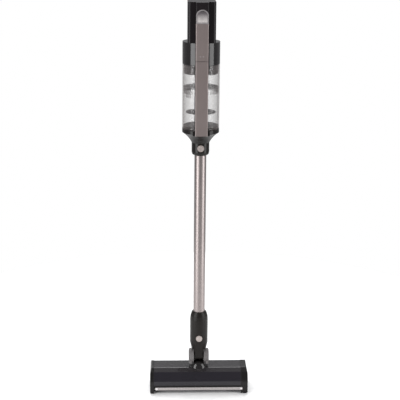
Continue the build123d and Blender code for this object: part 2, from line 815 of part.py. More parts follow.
def make_battery_case():
    z0 = box_z + 4.0
    body = Pos(0, 0, z0) * extrude(box_outline(-box_wall - slip), amount=cap_z - z0)
    return body - Pos(0, 0, z0 + 2.4) * extrude(box_outline(-box_wall - slip - 2), amount=200)


def cell_places():
    step = 2 * cell_r + 0.8
    y_mid = (box_rear - box_front) / 2
    rows = [(-1, 2), (0, 3), (1, 2)]
    return [((k - (n - 1) / 2) * step, y_mid + row * step * math.sqrt(3) / 2) for row, n in rows
            for k in range(n)]


def make_battery_cells():
    z0 = box_z + 8
    body = Part()
    for x, y in cell_places():
        body += rod_z(cell_r, z0, z0 + cell_len, x, y)
        body += rod_z(3, z0 + cell_len, z0 + cell_len + 0.8, x, y)
    return body


def make_battery_cap():
    body = Pos(0, 0, cap_z) * extrude(box_outline(), amount=cap_len)
    body = fillet(body.faces().sort_by(Axis.Z)[-1].edges(), 1.5)
    body -= block(-half_spine - 0.3, half_spine + 0.3, -90, -box_front + 0.01, 0, top_z + 1)
    return body - block(-11, 11, 8, 28, top_z - 3, top_z + 1)


def make_battery_latch():
    body = block(-10, 10, 17, 27, top_z - 2.8, top_z - 0.6)
    for k in range(3):
        y = 19 + 3 * k
        body += block(-8, 8, y, y + 1.2, top_z - 0.6, top_z - 0.1)
    return body


# ---- handle
def handle_side():
    low = body_z + 4
    high = top_z - 8
    outer = [(box_rear - 6, high), (handle_rear - 22, high), (handle_rear, high - 24),
             (handle_rear - 16, low + 14), (handle_rear - 28, low), (box_rear, low)]
    inner = [(box_rear + 13, high - 28), (handle_rear - 42, high - 28), (handle_rear - 32, high - 40),
             (handle_rear - 43, low + 34), (handle_rear - 51, low + 27), (box_rear + 20, low + 27)]
    outer_face = fillet(make_face(Polyline(*outer, close=True)).vertices(), 5)
    inner_face = fillet(make_face(Polyline(*inner, close=True)).vertices(), 6)
    return outer_face, inner_face


def handle_body():
    outer, inner = handle_side()
    body = along_x(outer, -handle_half, handle_half)
    body = fillet(body.edges().filter_by(lambda e: abs(abs(e.center().X) - handle_half) < 0.1), 7)
    hole = along_x(inner, -handle_half - 1, handle_half + 1)
    body -= hole
    body -= rod_z(bin_r, 0, box_z)
    return body - block(-60, 60, -60, box_rear, box_z - 1, top_z + 5)


def grip_zone():
    low = body_z + 4
    high = top_z - 8
    return block(-60, 60, handle_rear - 36, 200, low + 20, high - 30)


def make_handle_frame():
    body = handle_body()
    body -= make_handle_grip()
    body -= block(-7 - slip, 7 + slip, trigger_y() - 4, trigger_y() + 12, trigger_z() - 34, trigger_z() + 5)
    body -= rod_z(6.5 + slip, top_z - 14, top_z, 0, box_rear + 26)
    jack_y = handle_rear - 48
    body -= rod_z(6, body_z, body_z + 4 + jack_len + 3, 0, jack_y)
    for side in (-1, 1):
        body += rod_x(1.6, min(side * 4, side * 9), max(side * 4, side * 9), trigger_y() + 2, trigger_z())
    return body


def make_handle_grip():
    body = handle_body()
    return (body - Pos(0, -grip_skin, 0) * body) & grip_zone()


def trigger_y():
    return handle_rear - 36


def trigger_z():
    return top_z - 54


def make_trigger():
    y = trigger_y()
    z = trigger_z()
    side = make_face(Polyline((y - 2, z + 3.5), (y + 5, z + 3.5), (y + 4, z - 10), (y, z - 30),
                              (y - 7, z - 30), (y - 7, z - 18), (y - 4, z - 6), close=True))
    body = along_x(fillet(side.vertices(), 1.4), -7, 7)
    return body - rod_x(1.6 + run, -20, 20, y + 2, z)


def make_mode_button():
    return rod_z(6.5, top_z - 11, top_z - 6.8, 0, box_rear + 26)


def make_charge_socket():
    jack_y = handle_rear - 48
    z0 = body_z + 4
    return rod_z(6, z0, z0 + jack_len + 3, 0, jack_y) - rod_z(jack_r, z0 - 1, z0 + jack_len, 0, jack_y)


makers = {
    "head_top_cover": make_head_top_cover,
    "swivel_cradle": make_swivel_cradle,
    "front_window": make_front_window,
    "front_lip": make_front_lip,
    "light_bar_lens": make_light_bar_lens,
    "light_board": make_light_board,
    "base_plate": make_base_plate,
    "floor_seal": make_floor_seal,
    "left_end_cap": make_left_end_cap,
    "right_end_cap": make_right_end_cap,
    "roller_bearing": make_roller_bearing,
    "roller_core": make_roller_core,
    "roller_pile": make_roller_pile,
    "drive_dog": make_drive_dog,
    "motor_pinion": make_motor_pinion,
    "drive_belt": make_drive_belt,
    "brush_motor": make_brush_motor,
    "head_screws": make_head_screws,
    "wheel_axles": make_wheel_axles,
    "left_wheel": lambda: make_wheel(-wheel_x),
    "right_wheel": lambda: make_wheel(wheel_x),
    "swivel_ball": make_swivel_ball,
    "left_cheek": lambda: make_cheek(-1),
    "right_cheek": lambda: make_cheek(1),
    "pitch_pins": make_pitch_pins,
    "neck_joint": make_neck_joint,
    "lower_connector": make_lower_connector,
    "lower_button": lambda: make_button(conn_r, lower_button_z),
    "wand_tube": make_wand_tube,
    "wand_end_rings": make_wand_end_rings,
    "neck_housing": make_neck_housing,
    "upper_button": lambda: make_button(neck_r, upper_button_z),
    "duct_channel": make_duct_channel,
    "spine_lower_cover": make_spine_lower_cover,
    "spine_upper_cover": make_spine_upper_cover,
    "bin_cup": make_bin_cup,
    "bin_base": make_bin_base,
    "cyclone_shroud": make_cyclone_shroud,
    "inlet_skirt": make_inlet_skirt,
    "filter_cup": make_filter_cup,
    "pre_filter": make_pre_filter,
    "bin_seal": make_bin_seal,
    "bin_latch": make_bin_latch,
    "upper_housing": make_upper_housing,
    "exhaust_grilles": make_exhaust_grilles,
    "motor_can": make_motor_can,
    "impeller": make_impeller,
    "main_board": make_main_board,
    "top_housing": make_top_housing,
    "display_frame": make_display_frame,
    "display_lens": make_display_lens,
    "battery_case": make_battery_case,
    "battery_cells": make_battery_cells,
    "battery_cap": make_battery_cap,
    "battery_latch": make_battery_latch,
    "handle_frame": make_handle_frame,
    "handle_grip": make_handle_grip,
    "trigger": make_trigger,
    "mode_button": make_mode_button,
    "charge_socket": make_charge_socket,
}

os.makedirs("parts", exist_ok=True)
for node, maker in makers.items():
    save(node, maker())
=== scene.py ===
import json
import math

import bmesh
import bpy
from mathutils import Euler, Matrix, Vector


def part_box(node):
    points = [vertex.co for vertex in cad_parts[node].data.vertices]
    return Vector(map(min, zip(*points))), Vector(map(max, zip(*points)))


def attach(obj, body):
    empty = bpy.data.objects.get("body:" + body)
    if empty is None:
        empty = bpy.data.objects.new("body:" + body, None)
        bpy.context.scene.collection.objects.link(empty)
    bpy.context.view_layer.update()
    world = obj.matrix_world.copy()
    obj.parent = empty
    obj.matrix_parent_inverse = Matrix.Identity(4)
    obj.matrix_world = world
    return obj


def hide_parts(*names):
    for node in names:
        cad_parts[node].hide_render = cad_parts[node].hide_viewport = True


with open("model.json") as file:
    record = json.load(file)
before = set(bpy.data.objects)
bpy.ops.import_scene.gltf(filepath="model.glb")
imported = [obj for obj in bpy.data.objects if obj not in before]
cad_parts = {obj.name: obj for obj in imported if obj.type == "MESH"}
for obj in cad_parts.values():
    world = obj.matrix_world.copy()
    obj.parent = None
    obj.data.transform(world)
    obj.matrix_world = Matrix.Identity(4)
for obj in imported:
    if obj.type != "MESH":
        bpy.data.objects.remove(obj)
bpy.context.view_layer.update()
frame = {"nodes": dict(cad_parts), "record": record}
nodes = frame["nodes"]


# vertices closer than this are merged
weldGap = 0.000002


def clearPick():
    if bpy.context.object and bpy.context.object.mode != "OBJECT":
        bpy.ops.object.mode_set(mode="OBJECT")
    bpy.ops.object.select_all(action="DESELECT")


def pickOnly(piece):
    clearPick()
    piece.select_set(True)
    bpy.context.view_layer.objects.active = piece


def pickFaces(piece, test):
    # face select mode, with only the faces that pass the test
    pickOnly(piece)
    bpy.ops.object.mode_set(mode="EDIT")
    bpy.ops.mesh.select_mode(type="FACE")
    mesh = bmesh.from_edit_mesh(piece.data)
    for face in mesh.faces:
        face.select_set(bool(test(face)))
    mesh.select_flush_mode()
    bmesh.update_edit_mesh(piece.data)


def pickEdges(piece, test):
    pickOnly(piece)
    bpy.ops.object.mode_set(mode="EDIT")
    bpy.ops.mesh.select_mode(type="EDGE")
    bpy.ops.mesh.select_all(action="DESELECT")
    mesh = bmesh.from_edit_mesh(piece.data)
    for edge in mesh.edges:
        edge.select_set(bool(test(edge)))
    mesh.select_flush_mode()
    bmesh.update_edit_mesh(piece.data)


def useModifier(piece, kind, **settings):
    pickOnly(piece)
    modifier = piece.modifiers.new(kind.title(), kind)
    for key, value in settings.items():
        setattr(modifier, key, value)
    bpy.ops.object.modifier_apply(modifier=modifier.name)


def settle(piece, name, body, material, smooth=35):
    # the place goes into the mesh, the normals out, and the piece onto its body
    pickOnly(piece)
    bpy.ops.object.transform_apply(location=True, rotation=True, scale=True)
    bpy.ops.object.mode_set(mode="EDIT")
    bpy.ops.mesh.select_all(action="SELECT")
    bpy.ops.mesh.remove_doubles(threshold=weldGap)
    bpy.ops.mesh.normals_make_consistent(inside=False)
    bpy.ops.object.mode_set(mode="OBJECT")
    bpy.ops.object.shade_smooth_by_angle(angle=math.radians(smooth))
    piece.name = name
    piece.data.name = name
    piece.data.materials.clear()
    piece.data.materials.append(material)
    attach(piece, body)
    return piece


def middle(node):
    low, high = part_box(node)
    return (low + high) / 2


def edgeSpan(edge):
    # how far an edge runs along each axis
    along = edge.verts[0].co - edge.verts[1].co
    return Vector((abs(along.x), abs(along.y), abs(along.z)))


class Wire:
    # one socket that can be used in sums
    def __init__(self, shade, socket):
        self.shade = shade
        self.socket = socket

    def mathNode(self, operation, first, second=0.0):
        return self.shade.add("ShaderNodeMath", {"operation": operation}, {0: first, 1: second})

    def __add__(self, other):
        return self.mathNode("ADD", self, other)

    def __radd__(self, other):
        return self.mathNode("ADD", other, self)

    def __sub__(self, other):
        return self.mathNode("SUBTRACT", self, other)

    def __rsub__(self, other):
        return self.mathNode("SUBTRACT", other, self)

    def __mul__(self, other):
        return self.mathNode("MULTIPLY", self, other)

    def __rmul__(self, other):
        return self.mathNode("MULTIPLY", other, self)

    def __truediv__(self, other):
        return self.mathNode("DIVIDE", self, other)

    def __pow__(self, other):
        return self.mathNode("POWER", self, other)

    def __gt__(self, other):
        return self.mathNode("GREATER_THAN", self, other)


class Shade:
    # a material with one Principled shader
    def __init__(self, name, **constants):
        self.material = bpy.data.materials.new(name)
        self.material.use_nodes = True
        self.tree = self.material.node_tree
        self.tree.nodes.clear()
        self.out = self.tree.nodes.new("ShaderNodeOutputMaterial")
        self.skin = self.tree.nodes.new("ShaderNodeBsdfPrincipled")
        self.tree.links.new(self.skin.outputs[0], self.out.inputs["Surface"])
        for key, value in constants.items():
            self.skin.inputs[key.replace("_", " ")].default_value = value
        self.place = self.add("ShaderNodeTexCoord", {}, {}, "Object")

    def plug(self, socket, value):
        if isinstance(value, Wire):
            self.tree.links.new(value.socket, socket)
        else:
            socket.default_value = value

    def add(self, kind, settings, inputs, output=0):
        node = self.tree.nodes.new(kind)
        for key, value in settings.items():
            if key == "stops":
                ramp = node.color_ramp.elements
                while len(ramp) < len(value):
                    ramp.new(0.5)
                for stop, (at, shade) in zip(ramp, value):
                    stop.position = at
                    stop.color = shade if len(shade) == 4 else (*shade, 1)
            else:
                setattr(node, key, value)
        for key, value in inputs.items():
            self.plug(node.inputs[key], value)
        return Wire(self, node.outputs[output])

    def noise(self, scale, detail=3.0, stretch=(1, 1, 1)):
        where = self.place
        if stretch != (1, 1, 1):
            where = self.add("ShaderNodeMapping", {}, {"Vector": self.place, "Scale": stretch})
        return self.add("ShaderNodeTexNoise", {}, {"Vector": where, "Scale": scale, "Detail": detail},
                        "Fac")

    def axis(self, name):
        return self.add("ShaderNodeSeparateXYZ", {}, {0: self.place}, name)

    def blendColours(self, factor, first, second):
        # sockets 6 and 7, and output 2, are the Mix node's colour ones
        return self.add("ShaderNodeMix", {"data_type": "RGBA"},
                        {"Factor": factor, 6: (*first, 1), 7: (*second, 1)}, 2)

    def colour(self, wire):
        self.plug(self.skin.inputs["Base Color"], wire)

    def roughness(self, wire):
        self.plug(self.skin.inputs["Roughness"], wire)

    def bump(self, height, strength, distance):
        bumped = self.add("ShaderNodeBump", {}, {"Strength": strength, "Distance": distance,
                                                 "Height": height}, "Normal")
        self.plug(self.skin.inputs["Normal"], bumped)


def tint(colour, amount):
    return tuple(min(1.0, c * amount) for c in colour)


def glossPlastic(name, colour, rough=0.12, coat=0.2, smudge=0.1, shine=0.32):
    shade = Shade(name, Coat_Weight=coat, Coat_Roughness=0.04, Specular_IOR_Level=shine)
    cloud = shade.noise(14, 4)
    dust = shade.noise(900, 2)
    shade.colour(shade.blendColours(cloud, tint(colour, 0.86), tint(colour, 1.16)))
    shade.roughness(rough + cloud * smudge + (dust > 0.68) * 0.12)
    shade.bump(shade.noise(120, 2) * 0.6 + dust * 0.2, 0.05, 0.0002)
    return shade.material


def grainPlastic(name, colour, rough=0.45, grain=1400, depth=0.35):
    shade = Shade(name, Specular_IOR_Level=0.2)
    cloud = shade.noise(22, 3)
    pits = shade.noise(grain, 3)
    shade.colour(shade.blendColours(cloud * 0.6 + pits * 0.4, tint(colour, 0.8), tint(colour, 1.22)))
    shade.roughness(rough - 0.08 + cloud * 0.12 + pits * 0.08)
    shade.bump(pits, depth, 0.0003)
    return shade.material


def champagnePlastic(name, colour):
    # moulded plastic with a fine metal flake
    shade = Shade(name, Coat_Weight=0.25, Coat_Roughness=0.2)
    flake = shade.add("ShaderNodeTexVoronoi", {}, {"Vector": shade.place, "Scale": 2600.0}, "Distance")
    cloud = shade.noise(18, 3)
    shade.colour(shade.blendColours(flake * 0.7 + cloud * 0.4, tint(colour, 0.84), tint(colour, 1.2)))
    shade.roughness(0.3 + flake * 0.12 + cloud * 0.06)
    shade.plug(shade.skin.inputs["Metallic"], 0.35 + flake * 0.25)
    shade.bump(flake * 0.5 + shade.noise(1500, 2) * 0.5, 0.12, 0.0002)
    return shade.material


def anodisedMetal(name, colour):
    # drawn tube: fine streaks along its length under a tinted oxide
    shade = Shade(name, Metallic=1.0, Coat_Weight=0.15, Coat_Roughness=0.15)
    streak = shade.noise(900, 3, (1, 1, 0.01))
    cloud = shade.noise(9, 3)
    shade.colour(shade.blendColours(streak * 0.5 + cloud * 0.5, tint(colour, 0.88), tint(colour, 1.1)))
    shade.roughness(0.33 + streak * 0.06 + cloud * 0.05)
    shade.bump(streak, 0.02, 0.0001)
    return shade.material


def steelMetal(name, colour, rough=0.3):
    shade = Shade(name, Metallic=1.0)
    turned = shade.noise(1200, 2, (0.05, 1, 1))
    cloud = shade.noise(60, 3)
    shade.colour(shade.blendColours(turned, tint(colour, 0.8), tint(colour, 1.1)))
    shade.roughness(rough + turned * 0.15 + cloud * 0.1)
    shade.bump(turned, 0.15, 0.0001)
    return shade.material


def clearPlastic(name, colour, facing, edge, rough=0.06):
    # see-through wall: thin face on, dense where the wall is seen along its length
    shade = Shade(name, Specular_IOR_Level=0.7)
    rim = shade.add("ShaderNodeLayerWeight", {}, {"Blend": 0.45}, "Facing")
    haze = shade.noise(30, 4)
    scratch = shade.noise(500, 2, (1, 1, 0.05))
    shade.colour(shade.blendColours(haze, tint(colour, 0.9), tint(colour, 1.05)))
    shade.roughness(rough + haze * 0.08 + (scratch > 0.66) * 0.1)
    shade.plug(shade.skin.inputs["Alpha"], facing + (rim ** 2.2) * (edge - facing) + haze * 0.04)
    shade.bump(scratch, 0.03, 0.0001)
    return shade.material


def pileFabric(name, dark, light):
    # short tufted pile laid in slanting rows
    shade = Shade(name, Sheen_Weight=0.5, Sheen_Roughness=0.4, Specular_IOR_Level=0.2)
    tuft = shade.noise(2200, 3)
    rows = shade.add("ShaderNodeTexWave", {"bands_direction": "DIAGONAL"},
                     {"Vector": shade.place, "Scale": 45.0, "Distortion": 2.5, "Detail": 3.0}, "Fac")
    shade.colour(shade.blendColours(tuft * 0.6 + rows * 0.4, dark, light))
    shade.roughness(0.8 + tuft * 0.15)
    shade.bump(tuft * 0.7 + rows * 0.6, 0.7, 0.0008)
    return shade.material


def paperPleats(name, colour):
    shade = Shade(name, Specular_IOR_Level=0.2)
    fibre = shade.noise(1800, 4)
    cloud = shade.noise(40, 3)
    shade.colour(shade.blendColours(fibre * 0.5 + cloud * 0.5, tint(colour, 0.78), tint(colour, 1.1)))
    shade.roughness(0.85 + fibre * 0.1)
    shade.bump(fibre, 0.5, 0.0003)
    return shade.material


def softRubber(name, colour, ribScale=0.0):
    shade = Shade(name, Specular_IOR_Level=0.35)
    grain = shade.noise(1700, 3)
    cloud = shade.noise(25, 3)
    height = grain * 0.6
    if ribScale:
        ribs = shade.add("ShaderNodeTexWave", {"bands_direction": "Z", "wave_profile": "SIN"},
                         {"Vector": shade.place, "Scale": ribScale}, "Fac")
        height = grain * 0.3 + ribs
    shade.colour(shade.blendColours(cloud, tint(colour, 0.8), tint(colour, 1.35)))
    shade.roughness(0.62 + grain * 0.2)
    shade.bump(height, 0.45, 0.0004)
    return shade.material


def frostedBar(name, colour, dots, length):
    # diffuser over a row of lamps, with painted light: a soft brighter patch painted in front of each lamp
    # as its glow
    shade = Shade(name, Coat_Weight=0.5, Coat_Roughness=0.1)
    along = shade.axis("X") * (dots / length)
    paintedGlow = shade.add("ShaderNodeMath", {"operation": "PINGPONG"}, {0: along, 1: 0.5})
    frost = shade.noise(1100, 2)
    # painted light: the colour is brighter in a patch in front of each lamp
    shade.colour(shade.blendColours(paintedGlow * 1.4 + frost * 0.2, tint(colour, 1.12), tint(colour, 0.9)))
    shade.roughness(0.25 + frost * 0.2)
    shade.bump(frost, 0.1, 0.0002)
    return shade.material


def displayGlassPaintedShade(name, low, high, dark, light):
    # painted shade and painted light: dark at the top of the arch as painted shade under its lip, paler
    # towards its foot as painted light on the ledge
    shade = Shade(name, Coat_Weight=1.0, Coat_Roughness=0.03)
    rise = (shade.axis("Z") - low) / (high - low)
    grain = shade.noise(1600, 2)
    # colour ramp by height: painted shade at the top, painted light at the foot
    shade.colour(shade.add("ShaderNodeValToRGB",
                           {"stops": [(0.0, light), (0.35, tint(light, 0.75)), (0.72, tint(dark, 2.6)),
                                      (0.95, dark)]}, {0: rise + grain * 0.05}, "Color"))
    shade.roughness(0.16 + grain * 0.06)
    shade.bump(grain, 0.03, 0.0001)
    return shade.material


def circuitBoard(name):
    shade = Shade(name, Coat_Weight=0.3)
    tracks = shade.add("ShaderNodeTexBrick", {"offset": 0.3},
                       {"Vector": shade.place, "Scale": 260.0, "Mortar Size": 0.06}, "Fac")
    speck = shade.noise(700, 2)
    shade.colour(shade.blendColours(tracks, (0.012, 0.07, 0.03), (0.05, 0.19, 0.08)))
    shade.roughness(0.35 + speck * 0.15)
    shade.bump(tracks, 0.2, 0.0001)
    return shade.material


def cellWrap(name, colour):
    shade = Shade(name, Coat_Weight=0.6)
    wrap = shade.noise(200, 3, (1, 1, 0.1))
    shade.colour(shade.blendColours(wrap, tint(colour, 0.8), tint(colour, 1.2)))
    shade.roughness(0.28 + wrap * 0.12)
    shade.bump(wrap, 0.08, 0.0002)
    return shade.material


lensLow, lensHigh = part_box("display_lens")
barLow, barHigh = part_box("light_bar_lens")

finishes = {
    "gloss_black": glossPlastic("pianoBlack", (0.0095, 0.0082, 0.0085), 0.1, 0.25),
    "deck_gloss": glossPlastic("deckGloss", (0.02, 0.018, 0.02), 0.09, 0.75, 0.05),
    "smoked": glossPlastic("smokedWindow", (0.012, 0.0105, 0.0145), 0.07, 0.1, 0.05),
    "matte_black": grainPlastic("mouldedBlack", (0.0085, 0.0066, 0.0056), 0.36),
    "grey_plastic": grainPlastic("satinGrey", (0.13, 0.122, 0.122), 0.36),
    "champagne": champagnePlastic("champagneShell", (0.2, 0.165, 0.158)),
    "champagne_metal": anodisedMetal("anodisedWand", (0.3, 0.262, 0.255)),
    "button_champagne": champagnePlastic("buttonSatin", (0.36, 0.31, 0.29)),
    "clear_bin": clearPlastic("clearBin", (0.2, 0.178, 0.172), 0.1, 0.62),
    "smoke_inner": clearPlastic("smokyInner", (0.03, 0.026, 0.028), 0.86, 1.0, 0.2),
    # light bar: painted glow, a brighter patch in front of each lamp
    "light_lens": frostedBar("lightBar", (0.34, 0.315, 0.31), 30, barHigh.x - barLow.x),
    # display face: painted shade at the top of the arch, painted light at its foot
    "display_glass": displayGlassPaintedShade("displayFacePaintedShade", lensLow.z, lensHigh.z, (0.045, 0.04, 0.042),
                                  (0.5, 0.47, 0.46)),
    "display_trim": steelMetal("displayTrim", (0.62, 0.58, 0.58), 0.25),
    "roller_pile": pileFabric("rollerPile", (0.02, 0.018, 0.022), (0.08, 0.07, 0.085)),
    "felt": pileFabric("feltStrip", (0.015, 0.015, 0.015), (0.06, 0.06, 0.06)),
    "filter_fabric": paperPleats("filterPaper", (0.72, 0.7, 0.68)),
    "rubber": softRubber("softRubber", (0.018, 0.018, 0.019)),
    "steel": steelMetal("groundSteel", (0.55, 0.55, 0.56)),
    "board": circuitBoard("circuitBoard"),
    "cells": cellWrap("cellWrap", (0.1, 0.28, 0.16)),
}
boxBlack = glossPlastic("boxBlack", (0.0105, 0.0085, 0.0095), 0.22, 0.0, 0.06, 0.16)
neckBlack = glossPlastic("neckBlack", (0.009, 0.0078, 0.0072), 0.2, 0.0, 0.08, 0.2)
clearInner = clearPlastic("clearInner", (0.1, 0.09, 0.092), 0.16, 0.95, 0.1)
capBlack = glossPlastic("capBlack", (0.008, 0.0072, 0.0074), 0.16, 0.0, 0.06, 0.24)
seamBlack = grainPlastic("seamBlack", (0.006, 0.0055, 0.0055), 0.5)
gripRubber = softRubber("gripRubber", (0.02, 0.019, 0.02), 55.0)
grilleBlack = grainPlastic("grilleBlack", (0.02, 0.018, 0.018), 0.4)

ownFinish = {
    "handle_grip": gripRubber,
    "exhaust_grilles": grilleBlack,
    "top_housing": boxBlack,
    "battery_cap": boxBlack,
    "neck_housing": neckBlack,
    "inlet_skirt": clearInner,
    "left_end_cap": capBlack,
    "right_end_cap": capBlack,
    "front_lip": seamBlack,
}
for row in frame["record"]["subparts"]:
    piece = nodes[row["node"]]
    piece.data.materials.clear()
    piece.data.materials.append(ownFinish.get(row["node"], finishes[row["material_slot"]]))
print("materials on", len(nodes), "nodes")


def flutedRod(radius, inner, length, flutes, cuts, place):
    # a rod along Z with every other line of its side drawn in
    clearPick()
    bpy.ops.mesh.primitive_cylinder_add(vertices=flutes * 2, radius=radius, depth=length,
                                        location=(0, 0, 0))
    rod = bpy.context.object
    step = math.pi / flutes

    def isInner(edge):
        if edgeSpan(edge).z < length * 0.5:
            return False
        turn = math.atan2(edge.verts[0].co.y, edge.verts[0].co.x)
        return round(turn / step) % 2 == 1

    pickEdges(rod, isInner)
    share = inner / radius
    bpy.ops.transform.resize(value=(share, share, 1))
    bpy.ops.object.mode_set(mode="OBJECT")
    pickEdges(rod, lambda e: edgeSpan(e).z > length * 0.5)
    bpy.ops.mesh.subdivide(number_cuts=cuts)
    bpy.ops.object.mode_set(mode="OBJECT")
    rod.location = place
    return rod


rollerPile = {"flutes": 34, "depth": 0.0016, "twist": 260, "rows": 60, "clear": 0.0001}


def makeRollerPile():
    low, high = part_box("roller_pile")
    radius = (high.z - low.z) / 2 - rollerPile["clear"]
    length = high.x - low.x - 2 * rollerPile["clear"]
    rod = flutedRod(radius, radius - rollerPile["depth"], length, rollerPile["flutes"],
                    rollerPile["rows"], middle("roller_pile"))
    useModifier(rod, "SIMPLE_DEFORM", deform_method="TWIST", deform_axis="Z",
                angle=math.radians(rollerPile["twist"]))
    rod.rotation_euler = (0, math.radians(90), 0)
    settle(rod, "tuftedPile", "roller", finishes["roller_pile"], 60)
    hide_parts("roller_pile")


preFilter = {"pleats": 44, "depth": 0.006, "bore": 0.0145, "clear": 0.0002, "rows": 2, "hollow": 0.8}


def makePreFilter():
    low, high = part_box("pre_filter")
    radius = (high.x - low.x) / 2 - preFilter["clear"]
    length = high.z - low.z - 2 * preFilter["clear"]
    rod = flutedRod(radius, radius - preFilter["depth"], length, preFilter["pleats"],
                    preFilter["rows"], middle("pre_filter"))
    pickFaces(rod, lambda f: f.normal.z > 0.9 and f.calc_center_median().z > length * 0.49)
    bpy.ops.mesh.inset(thickness=radius - preFilter["depth"] - preFilter["bore"])
    sink = (0, 0, -length * preFilter["hollow"])
    bpy.ops.mesh.extrude_region_move(TRANSFORM_OT_translate={"value": sink})
    bpy.ops.object.mode_set(mode="OBJECT")
    settle(rod, "pleatedFilter", "bin", finishes["filter_fabric"], 25)
    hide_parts("pre_filter")


meshSleeve = {"around": 44, "rows": 30, "bar": 0.00045, "sheet": 0.0003, "core": 0.017, "gap": 0.00015,
              "foot": 0.0435, "headroom": 0.001}


def makeMeshSleeve():
    # perforated sheet round the cyclone's core, above its dust plate
    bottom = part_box("cyclone_shroud")[0].z + meshSleeve["foot"]
    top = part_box("inlet_skirt")[0].z - meshSleeve["headroom"]
    clearPick()
    bpy.ops.mesh.primitive_cylinder_add(vertices=meshSleeve["around"],
                                        radius=meshSleeve["core"] + meshSleeve["gap"],
                                        depth=top - bottom, end_fill_type="NOTHING",
                                        location=(0, axisY, (top + bottom) / 2))
    sleeve = bpy.context.object
    pickEdges(sleeve, lambda e: edgeSpan(e).z > (top - bottom) / 2)
    bpy.ops.mesh.subdivide(number_cuts=meshSleeve["rows"])
    bpy.ops.mesh.select_mode(type="FACE")
    bpy.ops.mesh.select_all(action="SELECT")
    bpy.ops.mesh.inset(thickness=meshSleeve["bar"], use_individual=True)
    bpy.ops.mesh.delete(type="FACE")
    bpy.ops.object.mode_set(mode="OBJECT")
    useModifier(sleeve, "SOLIDIFY", thickness=meshSleeve["sheet"], offset=1)
    settle(sleeve, "cycloneMesh", "bin", finishes["steel"], 30)


wheelShape = {"blocks": 30, "tread": 0.0006, "bevel": 0.0008, "hub": 0.0034, "dish": 0.0012,
              "sideArea": 0.00004, "blockShare": 0.04}


def makeTyre(node, body):
    low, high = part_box(node)
    radius = (high.z - low.z) / 2
    wide = high.x - low.x
    clearPick()
    bpy.ops.mesh.primitive_cylinder_add(vertices=wheelShape["blocks"] * 2, radius=radius, depth=wide,
                                        rotation=(0, math.radians(90), 0), location=middle(node))
    tyre = bpy.context.object
    pickEdges(tyre, lambda e: edgeSpan(e).z < wide * 0.1)
    bpy.ops.mesh.bevel(offset=wheelShape["bevel"], segments=3, affect="EDGES")
    bpy.ops.object.mode_set(mode="OBJECT")
    pickFaces(tyre, lambda f: abs(f.normal.z) > 0.95 and f.calc_area() > wheelShape["sideArea"])
    bpy.ops.mesh.inset(thickness=wheelShape["hub"])
    bpy.ops.mesh.extrude_region_shrink_fatten(TRANSFORM_OT_shrink_fatten={"value": -wheelShape["dish"]})
    bpy.ops.object.mode_set(mode="OBJECT")
    blockArea = wide * radius * wheelShape["blockShare"]
    pickFaces(tyre, lambda f: abs(f.normal.z) < 0.05 and f.calc_area() > blockArea)
    groove = wheelShape["tread"] / 2
    bpy.ops.mesh.inset(thickness=groove, depth=-groove, use_individual=True)
    bpy.ops.object.mode_set(mode="OBJECT")
    settle(tyre, node.split("_")[0] + "Tyre", body, finishes["rubber"], 30)
    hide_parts(node)


buttonRing = {"share": 0.56, "thick": 0.00028, "flatten": 0.5}


def makeButtonRing(node, body, name):
    low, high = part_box(node)
    radius = (high.x - low.x) / 2
    clearPick()
    bpy.ops.mesh.primitive_torus_add(major_radius=radius * buttonRing["share"],
                                     minor_radius=buttonRing["thick"], major_segments=48, minor_segments=8,
                                     rotation=(math.radians(90), 0, 0),
                                     location=(0, low.y, (low.z + high.z) / 2))
    ring = bpy.context.object
    bpy.ops.object.transform_apply(location=False, rotation=True, scale=True)
    bpy.ops.object.mode_set(mode="EDIT")
    bpy.ops.mesh.select_all(action="SELECT")
    bpy.ops.transform.resize(value=(1, buttonRing["flatten"], 1))
    bpy.ops.object.mode_set(mode="OBJECT")
    settle(ring, name, body, finishes["steel"], 60)


seamStrip = {"tall": 0.0009, "deep": 0.0016, "proud": 0.00012, "short": 0.0004, "round": 0.0005}


def makeSpineSeam():
    # dark line between the two covers of the front duct
    low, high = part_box("spine_lower_cover")
    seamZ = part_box("spine_upper_cover")[0].z
    clearPick()
    place = ((low.x + high.x) / 2, low.y + seamStrip["deep"] / 2, seamZ)
    bpy.ops.mesh.primitive_cube_add(size=1, location=place)
    strip = bpy.context.object
    strip.scale = (high.x - low.x - seamStrip["short"], seamStrip["deep"] + 2 * seamStrip["proud"],
                   seamStrip["tall"])
    bpy.ops.object.transform_apply(location=False, rotation=False, scale=True)
    pickEdges(strip, lambda e: edgeSpan(e).z > seamStrip["tall"] / 2)
    bpy.ops.mesh.bevel(offset=seamStrip["round"], segments=2, affect="EDGES")
    bpy.ops.object.mode_set(mode="OBJECT")
    settle(strip, "spineSeam", "handheld", seamBlack, 30)


endLamp = {"radius": 0.0037, "behind": 0.0004, "inset": 0.0046, "flatten": 0.2}


def makeEndLamps():
    # a round lamp behind each end of the diffuser
    for side, name in ((-1, "leftLamp"), (1, "rightLamp")):
        x = side * ((barHigh.x - barLow.x) / 2 - endLamp["inset"]) + (barHigh.x + barLow.x) / 2
        clearPick()
        bpy.ops.mesh.primitive_uv_sphere_add(segments=32, ring_count=16, radius=endLamp["radius"],
                                             location=(x, barLow.y + endLamp["behind"],
                                                       (barLow.z + barHigh.z) / 2))
        lamp = bpy.context.object
        lamp.scale = (1, endLamp["flatten"], 1)
        settle(lamp, name, "head", lampGlass, 60)


# share of a mark's height that its ends are rounded by
markRound = 0.45


